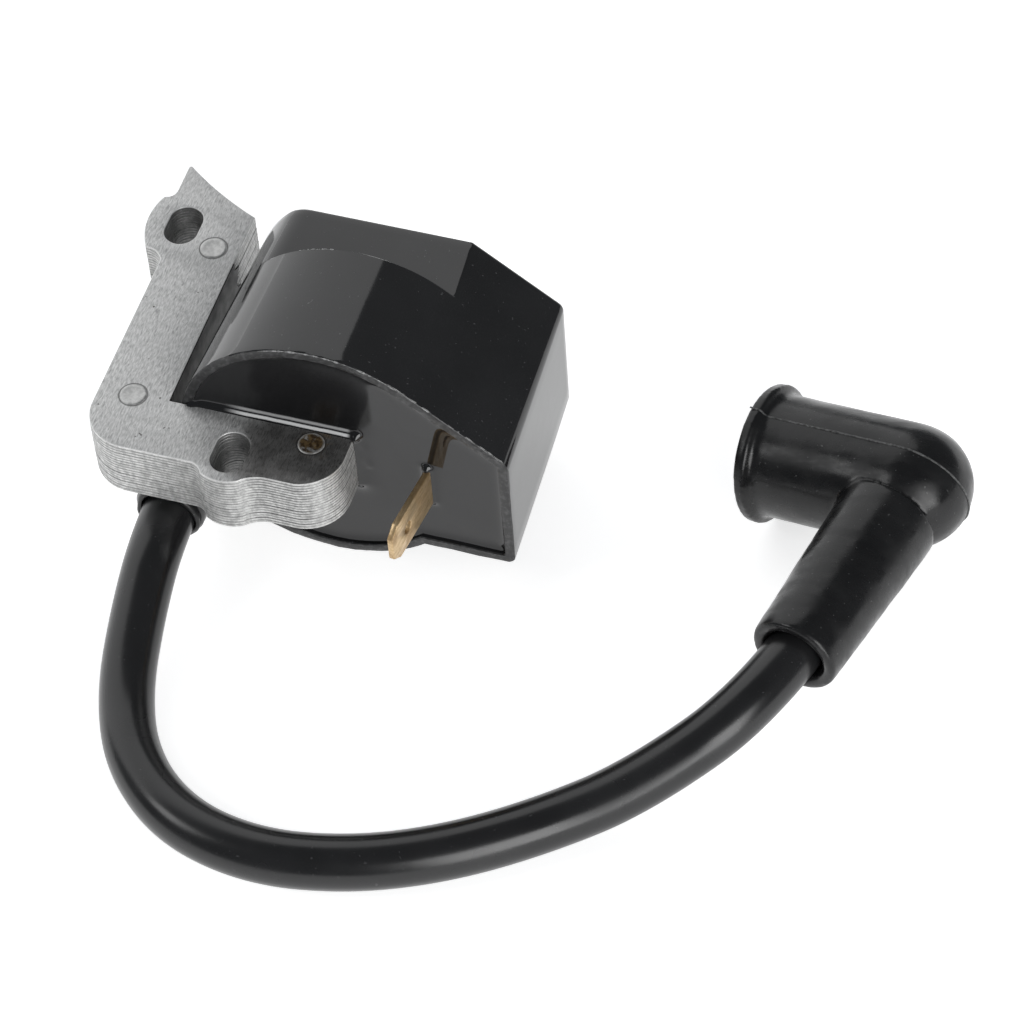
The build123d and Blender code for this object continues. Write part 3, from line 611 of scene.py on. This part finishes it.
def housing_ring(inset, y, flat=False):
    """The housing's outline, drawn in by inset, as points in the row's frame."""
    r = RADIUS - inset
    top = (r * math.sin(SLANT), AXIS_Z + r * math.cos(SLANT))
    wall_x = SIDE_X - inset
    floor_z = FLOOR_Z + inset
    knee = (wall_x, top[1] - math.tan(SLANT) * (wall_x - top[0]))
    toe = (wall_x, floor_z)
    meet_x = math.sqrt(r**2 - (floor_z - AXIS_Z) ** 2)
    upper = fillet_arc(knee, top, toe, max(KNEE_R - inset, 0.5), 8)
    lower = fillet_arc(toe, knee, (0, floor_z), max(TOE_R - inset, 0.3), 5)
    pts = [top] + line(top, upper[0], 48) + upper[1:]
    pts += line(upper[-1], lower[0], 8) + lower[1:] + line(lower[-1], (meet_x, floor_z), 6)
    a0 = math.atan2(floor_z - AXIS_Z, meet_x)
    a1 = math.atan2(top[1] - AXIS_Z, top[0]) - 2 * math.pi
    pts += round_to((0.0, AXIS_Z), r, a0, a1 - a0, 110)[1:-1]
    if flat:
        level = STEP_Z - (inset - flat)
        soft = 4.0
        cx = -math.sqrt((r - soft) ** 2 - (level - soft - AXIS_Z) ** 2)
        cz = level - soft
        start = AXIS_Z + r * (cz - AXIS_Z) / (r - soft)
        out = []
        for x, z in pts:
            if x < cx and z > start:
                d = math.hypot(x - cx, z - cz)
                out.append((cx + soft * (x - cx) / d, cz + soft * (z - cz) / d))
            else:
                out.append((x, min(z, level)))
        pts = out
    return [place(x, y, z) for x, z in pts]


def wavy(ring, amount, scale, seed, along=(0, 1, 0)):
    """Pushes points along a direction by smooth noise."""
    way = Vector(along)
    start = Vector((seed, seed, seed))
    return [Vector(p) + way * amount * noise.noise(Vector(p) * scale + start) for p in ring]


def toward(ring, centre, share):
    c = Vector(centre)
    return [c + (Vector(p) - c) * share for p in ring]


def housing_shell():
    rings = [housing_ring(WALL + 0.05, 1.6), housing_ring(WALL, 0.5)]
    rings.append(wavy(housing_ring(WALL - 0.02, 0.16), 0.10, 1.1, 3.0))
    rings.append(wavy(housing_ring(WALL - 0.16, 0.02), 0.10, 1.3, 4.0))
    rings.append(wavy(housing_ring(WALL * 0.62, -0.01), 0.07, 1.5, 5.0))
    rings.append(wavy(housing_ring(WALL * 0.33, 0.0), 0.07, 1.7, 6.0))
    rings.append(wavy(housing_ring(0.16, 0.03), 0.12, 1.9, 7.0))
    rings.append(wavy(housing_ring(0.03, 0.17), 0.14, 1.6, 8.0))
    for y in (0.5, 1.5, 3.0, 5.0, 7.5, 10.0, 12.5, 15.0, 16.8, 17.6):
        rings.append(housing_ring(y * DRAFT, y))
    brink = STEP_Y - 0.15
    edge = brink * DRAFT
    rings.append(housing_ring(edge, brink))
    step = [
        Vector(a) if a[2] < STEP_Z + 0.1 else Vector(b)
        for a, b in zip(housing_ring(17.96 * DRAFT, 17.96), housing_ring(edge + 0.09, 17.96))
    ]
    rings.append(step)
    rings.append(housing_ring(STEP_Y * DRAFT, 18.01, flat=STEP_Y * DRAFT))
    for y in (18.6, 20.0, 22.0, 24.0, 26.0, 26.9):
        rings.append(housing_ring(y * DRAFT, y, flat=y * DRAFT))
    for extra, y in ((0.06, 27.15), (0.2, 27.33), (0.42, BACK_Y)):
        rings.append(housing_ring(y * DRAFT + extra, y, flat=y * DRAFT))
    back = rings[-1]
    centre = place(2.0, BACK_Y, 18.0)
    rings += [toward(back, centre, share) for share in (0.93, 0.8, 0.6, 0.35, 0.12)]
    return skin(rings, cap_end=True)


def tower():
    def rough(along, a):
        return 0.05 * math.sin(5 * a + along * 2) if along < 0.4 else 0.0
    profile = [(1.9, 0.02), (1.9, 3.6), (0.5, 3.7), (0.12, 3.85), (0.0, 4.1), (0.05, 4.35)]
    profile += [(0.3, 4.55), (0.8, 4.6), (13.0, 4.6), (13.45, 4.4), (13.6, 3.9), (13.6, 0.02)]
    return lathe(profile, place(TOWER[0], TOWER_Y, TOWER[1]), (0, 1, 0), 56, rough)


def web():
    """The web that stands below the tower, drawn in at its foot like a moulding."""
    x, half = TOWER[0], 3.5
    outline = [(x - half, 0.0), (x + half, 0.0), (x + half, 8.0), (x - half, 8.0)]
    eased = rounded(outline, 0, 0.6) + rounded(outline, 1, 0.6) + [outline[2], outline[3]]
    rings = []
    for inset, y in ((0.3, 2.8), (0.08, 2.88), (0.0, 3.1), (0.0, 5.0), (0.0, 6.7), (0.08, 6.92), (0.3, 7.0)):
        narrow = 1 - inset / half
        rings.append([place(x + (a - x) * narrow, y, b + (inset if b < 4 else -inset)) for a, b in eased])
    return skin(rings, cap_start=True, cap_end=True)


housing_parts = join(housing_shell(), tower(), web())
housing = piece("housing_shell", *housing_parts, HOUSING, "module", "housing_plastic", 32.0)
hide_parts("coil_housing")


# ======== potting: a still pool of resin that climbs whatever it touches ========
def potting_surface():
    step = 0.24
    xs = np.arange(-19.0, 24.6, step)
    zs = np.arange(-0.2, 38.2, step)
    gx, gz = np.meshgrid(xs, zs)
    edge = np.array([(x - COIL_X, z) for x, _, z in housing_ring(WALL, 0.0)])
    nxt = np.roll(edge, -1, axis=0)
    p = np.stack([gx.ravel(), gz.ravel()], axis=1)
    best = np.full(len(p), 1e9)
    inside = np.zeros(len(p), bool)
    for a, b in zip(edge, nxt):
        ab = b - a
        t = np.clip(((p - a) @ ab) / max(ab @ ab, 1e-9), 0, 1)
        best = np.minimum(best, np.linalg.norm(p - a - t[:, None] * ab, axis=1))
        crosses = (a[1] > p[:, 1]) != (b[1] > p[:, 1])
        if abs(b[1] - a[1]) > 1e-9:
            at = a[0] + (p[:, 1] - a[1]) * (b[0] - a[0]) / (b[1] - a[1])
            inside ^= crosses & (p[:, 0] < at)
    wall = np.where(inside, best, -best)

    def box_gap(x0, x1, z0, z1):
        dx = np.maximum(np.maximum(x0 - p[:, 0], p[:, 0] - x1), 0)
        dz = np.maximum(np.maximum(z0 - p[:, 1], p[:, 1] - z1), 0)
        return np.hypot(dx, dz)

    core_gap = box_gap(-20.0, 4.3, CORE_LOW, CORE_TOP)
    tab_gap = box_gap(TAB_X - 0.45, TAB_X + 0.45, TAB_Z - 3.2, TAB_Z + 3.2)
    y = np.full(len(p), 0.80)
    y -= 0.30 * np.exp(-np.maximum(wall, 0) / 0.45)
    y -= 0.95 * np.exp(-(core_gap / 0.95) ** 1.15)
    y -= 0.55 * np.exp(-tab_gap / 0.35)
    for bx, bz, high, wide in ((TAB_X - 0.1, TAB_Z + 3.45, 0.5, 0.45), (4.65, CORE_TOP + 0.1, 0.5, 0.55)):
        y -= high * np.exp(-(np.hypot(p[:, 0] - bx, p[:, 1] - bz) / wide) ** 3)
    drip_x = 5.1 + 0.10 * (CORE_TOP - p[:, 1]) + 0.12 * np.sin(p[:, 1] * 1.9)
    drip = np.clip((CORE_TOP - p[:, 1]) / 0.8, 0, 1) * np.clip((p[:, 1] - CORE_TOP + 6.2) / 0.6, 0, 1)
    y -= 0.10 * drip * np.exp(-((p[:, 0] - drip_x) / 0.42) ** 2)
    swell = np.array([noise.noise(Vector((a * 0.16, b * 0.16, 2.0))) for a, b in p])
    y += 0.035 * swell
    keep = wall > -0.7
    index = -np.ones(len(p), int)
    index[keep] = np.arange(keep.sum())
    verts = [place(a, h, b) for (a, b), h in zip(p[keep], y[keep])]
    rows, cols = gx.shape
    faces = []
    for r in range(rows - 1):
        for c in range(cols - 1):
            low, high = r * cols + c, (r + 1) * cols + c
            quad = [index[low], index[low + 1], index[high + 1], index[high]]
            if min(quad) >= 0:
                faces.append(tuple(int(q) for q in quad))
    return verts, faces


piece("potting_surface", *potting_surface(), RESIN, "module", "potting_epoxy", 80.0)


# ======== resin that has run down the outer arm's inner wall and into the corner, also painted shade for the deep gap beside the housing ===
def resin_run_and_gap_shade():
    """A thin film on the wall, from the corner to a ragged edge short of the pole."""
    front, back = [], []
    heights = np.linspace(CORE_LOW + 0.02, CORE_TOP - 0.06, 26)
    for z in heights:
        edge = 24.0 + 2.6 * noise.noise(Vector((0.0, 3.1, z * 0.55)))
        edge += 0.8 * noise.noise(Vector((1.0, 7.7, z * 2.1)))
        ys = np.linspace(-0.09, edge, 60)
        front.append([place(-19.90 + 0.03 * noise.noise(Vector((5.0, y * 0.3, z * 0.3))), y, z) for y in ys])
        back.append([place(-20.04, y, z) for y in ys])
    loops = [f + b[::-1] for f, b in zip(front, back)]
    return skin(loops, cap_start=True, cap_end=True)


piece("resin_run_and_gap_shade", *resin_run_and_gap_shade(), RESIN_FILM_AND_SHADE, "module", "potting_epoxy", 40.0)


# ======== kill terminal: punched from strip, with bevelled corners and a rolled edge ========
def tab_mesh():
    out = Vector((-math.sin(TAB_LEAN), -math.cos(TAB_LEAN), 0))
    thick = Vector((math.cos(TAB_LEAN), -math.sin(TAB_LEAN), 0))
    up = Vector((0, 0, 1))
    root = Vector(place(TAB_X, 0, TAB_Z))
    outline = [(-4.0, -3.15), (8.8, -3.15), (10.4, -1.85), (10.4, 1.85), (8.8, 3.15), (-4.0, 3.15)]
    eased = []
    for k, p in enumerate(outline):
        eased += rounded(outline, k, 0.35, 4)
    hole = round_to((6.4, 0.0), 0.85, 0.0, 2 * math.pi, 32)[:-1]
    parts, caps, spans, start = [], [], [], 0
    lips = [(0.14, 0.0), (0.05, 0.03), (0.0, 0.13)]
    for loop, sign in ((eased, 1.0), (hole, -1.0)):
        levels = [(i, -0.4 + d) for i, d in lips] + [(i, 0.4 - d) for i, d in reversed(lips)]
        rings = []
        for inset, t in levels:
            rings.append([
                root + out * a + up * b + thick * (t + 0.05 * math.sin(a * 0.35) * (a > 0))
                for a, b in inward(loop, sign * inset)
            ])
        parts.append(skin(rings))
        caps.append((rings[0], rings[-1]))
        spans.append((start, len(parts[-1][0]), len(loop)))
        start += len(parts[-1][0])
    verts, faces = join(*parts)
    for end in (0, 1):
        flat = [
            i for s, total, n in spans
            for i in (range(s, s + n) if end == 0 else range(s + total - n, s + total))
        ]
        faces += [tuple(flat[i] for i in tri) for tri in tessellate_polygon([list(c[end]) for c in caps])]
    return verts, faces


terminal = piece("kill_tab", *tab_mesh(), BRASS, "module", "terminal_brass", 30.0)
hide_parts("kill_terminal")


# ======== lead: one free cord ========
def make_lead():
    curve = bpy.data.curves.new("ht_lead_cord", "CURVE")
    curve.dimensions = "3D"
    curve.resolution_u = 16
    curve.bevel_depth = 1.0
    curve.bevel_resolution = 10
    curve.use_fill_caps = True
    spline = curve.splines.new("NURBS")
    spline.points.add(len(LEAD_ROUTE) - 1)
    for point, at in zip(spline.points, LEAD_ROUTE):
        point.co = (at[0] * MM, at[1] * MM, at[2] * MM, 1.0)
        point.radius = LEAD_R * MM
    spline.order_u = 3
    spline.use_endpoint_u = True
    curve.materials.append(VINYL)
    obj = bpy.data.objects.new("ht_lead_cord", curve)
    bpy.context.scene.collection.objects.link(obj)
    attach(obj, "module")
    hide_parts("ht_lead")
    return obj


lead = make_lead()


# ======== seal: the ragged collar of rubber squeezed out where the lead enters ========
def closed_lathe(profile, origin, axis, around, wobble=None):
    """A turned ring: the profile's last point joins its first."""
    verts, faces = lathe(profile, origin, axis, around, wobble)
    last = (len(profile) - 1) * around
    joint = [(last + i, last + (i + 1) % around, (i + 1) % around, i) for i in range(around)]
    return verts, faces[:-2] + joint


def collar():
    def ragged(along, a):
        lift = noise.noise(Vector((math.cos(a) * 1.7, math.sin(a) * 1.7, along * 1.1)))
        return 0.32 * lift if along < 0.6 else 0.0
    profile = [(1.4, 3.52), (1.4, 4.1), (0.3, 4.12), (-0.05, 4.2), (-0.35, 4.28)]
    profile += [(-0.65, 4.22), (-0.85, 4.05), (-0.9, 3.85), (-0.8, 3.62), (0.0, 3.54)]
    return closed_lathe(profile, place(TOWER[0], TOWER_Y, TOWER[1]), (0, 1, 0), 72, ragged)


seal = piece("lead_collar", *collar(), RUBBER, "module", "seal_rubber", 60.0)
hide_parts("lead_seal")


# ======== boot: moulded elbow with its bores, seam and flange ========
def boot_parts():
    r = BARREL_R
    barrel = [(-r, 0.02)]
    barrel += [(-r * math.cos(math.radians(a)), r * math.sin(math.radians(a))) for a in range(6, 90, 6)]
    barrel += [(0.0, r), (6.0, r), (12.0, r), (17.8, r), (18.4, r + 0.12), (18.75, r + 0.5)]
    barrel += [(18.9, 8.85), (19.15, 9.02), (19.5, 8.98), (19.65, 8.82), (19.85, 8.86), (20.1, 8.98)]
    barrel += [(20.35, 8.85), (20.5, 8.5), (20.5, 5.7), (20.0, SOCKET_R), (11.4, SOCKET_R)]
    barrel += [(10.9, CHAMBER_R), (-2.0, CHAMBER_R), (-2.0, 0.02)]
    tube = [(5.9, 3.55), (5.9, 6.5), (12.0, 6.33), (18.0, 6.1), (24.0, 5.87), (28.9, 5.72), (30.0, 5.66)]
    tube += [(30.35, 5.5), (30.5, 5.2), (30.5, 4.5), (30.3, 4.15), (29.9, 3.95), (29.6, 3.62), (20.0, 3.56)]
    return lathe(barrel, ELBOW, BARREL_DIR, 96), closed_lathe(tube, ELBOW, -TUBE_DIR, 80)


def boot_mesh():
    body = piece("plug_boot_moulded", *join(*boot_parts()), RUBBER, "boot", "boot_rubber", 180.0)
    remesh = body.modifiers.new("skin", "REMESH")
    remesh.mode = "VOXEL"
    remesh.voxel_size = 0.26 * MM
    ease = body.modifiers.new("ease", "SMOOTH")
    ease.factor = 0.5
    ease.iterations = 9
    deps = bpy.context.evaluated_depsgraph_get()
    mesh = bpy.data.meshes.new_from_object(body.evaluated_get(deps))
    body.modifiers.clear()
    body.data = mesh
    ways = [v.normal.copy() for v in mesh.vertices]
    for v, way in zip(mesh.vertices, ways):
        v.co += way * MM * 0.05 * noise.noise(v.co / MM * 0.30)
    mesh.polygons.foreach_set("use_smooth", [True] * len(mesh.polygons))
    return body


boot = boot_mesh()
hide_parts("plug_boot")


def ribbon(name, points, radius, mat, body):
    """A fine raised line, such as a parting seam, along points in the row's frame."""
    curve = bpy.data.curves.new(name, "CURVE")
    curve.dimensions = "3D"
    curve.bevel_depth = 1.0
    curve.bevel_resolution = 2
    curve.use_fill_caps = True
    spline = curve.splines.new("POLY")
    spline.points.add(len(points) - 1)
    for k, (point, at) in enumerate(zip(spline.points, points)):
        point.co = (at[0] * MM, at[1] * MM, at[2] * MM, 1.0)
        point.radius = radius * MM * (0.75 + 0.5 * abs(noise.noise(Vector(at) * 0.9)))
    curve.materials.append(mat)
    obj = bpy.data.objects.new(name, curve)
    bpy.context.scene.collection.objects.link(obj)
    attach(obj, body)
    return obj


plumb = Vector((0, 0, 1)) - BARREL_DIR * BARREL_DIR.z
up = (Matrix.Rotation(math.radians(-5.0), 3, BARREL_DIR) @ plumb).normalized()
seam_top = [ELBOW + BARREL_DIR * a + up * BARREL_R for a in np.linspace(18.3, 0.0, 44)]
dome_turns = np.linspace(0.04, math.pi - 0.04, 60)
seam_dome = [ELBOW + (up * math.cos(t) - BARREL_DIR * math.sin(t)) * BARREL_R for t in dome_turns]
seam_low = [ELBOW + BARREL_DIR * a - up * BARREL_R for a in np.linspace(0.0, 18.3, 44)]
lug_profile = ((20.42, 9.12), (20.35, 9.08), (19.9, 9.0), (19.3, 9.02), (18.9, 8.8), (18.75, 8.4))
lug = [ELBOW + BARREL_DIR * a + up * r for a, r in lug_profile]
seam = ribbon("boot_seam", lug + seam_top + seam_dome + seam_low, 0.15, SEAM, "boot")


def flash(name, points, radius, seed, keep):
    """Torn moulding flash: a pale ribbon that swells and dies away along an edge."""
    obj = ribbon(name, points, radius, FLASH, "module")
    for k, point in enumerate(obj.data.splines[0].points):
        swell = noise.noise(Vector((k * 0.21, seed, 0.5))) + 0.6 * noise.noise(Vector((k * 0.83, seed, 1.5)))
        ends = min(1.0, k / 5.0, (len(points) - 1 - k) / 5.0)
        point.radius = radius * MM * min(0.9, max(0.25, (swell + keep) * 1.6)) * ends


def rim_point(angle, inset, y):
    r = RADIUS - inset
    return place(r * math.cos(angle), y, AXIS_Z + r * math.sin(angle))


rim_edge = [rim_point(math.radians(a), 0.14, 0.02) for a in np.linspace(112, 55, 150)]
step_edge = [rim_point(math.radians(a), 17.9 * DRAFT + 0.05, 17.85) for a in np.linspace(118, 98, 60)]
flash("rim_flash", rim_edge, 0.13, 2.0, 0.16)
flash("step_flash", step_edge, 0.14, 9.0, 0.22)
slant_edge = [
    place(*(Vector((11.5, 0.05, 33.8)).lerp(Vector((23.3, 0.05, 24.9)), t)))
    for t in np.linspace(0.0, 1.0, 90)
]
flash("slant_flash", slant_edge, 0.07, 5.0, 0.05)


# ======== stage, light and camera ========
def stage_floor():
    mesh = bpy.data.meshes.new("floor")
    half = 3.0
    corners = [(-half, -half, 0), (half, -half, 0), (half, half, 0), (-half, half, 0)]
    mesh.from_pydata(corners, [], [(0, 1, 2, 3)])
    obj = bpy.data.objects.new("floor", mesh)
    bpy.context.scene.collection.objects.link(obj)
    n = Nodes("floor_white")
    n.set(base_color=(0.92, 0.92, 0.92), roughness=0.75)
    n.shader.inputs["Emission Color"].default_value = (1, 1, 1, 1)
    n.shader.inputs["Emission Strength"].default_value = 0.66
    mesh.materials.append(n.mat)


def softbox(name, centre, target, width, height, power):
    light = bpy.data.lights.new(name, "AREA")
    light.shape = "RECTANGLE"
    light.size = width
    light.size_y = height
    light.energy = power
    obj = bpy.data.objects.new(name, light)
    bpy.context.scene.collection.objects.link(obj)
    obj.location = centre
    obj.rotation_euler = (Vector(target) - Vector(centre)).to_track_quat("-Z", "Y").to_euler()


stage_floor()
softbox("back_left_panel", (-0.881, 0.528, 0.417), (-0.321, -0.092, -0.183), 1.75, 1.7, 11.0)
softbox("front_right_panel", (0.75, -0.72, 0.40), (0.03, -0.02, 0.02), 0.62, 0.70, 8.0)
softbox("front_left_panel", (-0.75, -0.45, 0.75), (0.0, -0.02, 0.02), 0.35, 0.35, 1.6)

world = bpy.data.worlds.new("studio")
world.use_nodes = True
world.node_tree.nodes["Background"].inputs["Color"].default_value = (0.9, 0.95, 1.0, 1.0)
world.node_tree.nodes["Background"].inputs["Strength"].default_value = 0.18
bpy.context.scene.world = world
bpy.context.scene.view_settings.view_transform = "Standard"

camera = bpy.data.cameras.new("camera")
camera.sensor_width = 36.0
camera.lens = 4500 / 1024 * camera.sensor_width
camera.clip_start = 0.05
eye = bpy.data.objects.new("camera", camera)
bpy.context.scene.collection.objects.link(eye)
right = Vector((0.95192, 0.30184, -0.05233))
above = Vector((-0.20513, 0.75491, 0.62293))
back = Vector((0.22753, -0.58224, 0.78053))
pose = Matrix((right, above, back)).transposed().to_4x4()
pose.translation = Vector((156.05, -338.92, 451.09)) * MM
eye.matrix_world = pose
bpy.context.scene.camera = eye
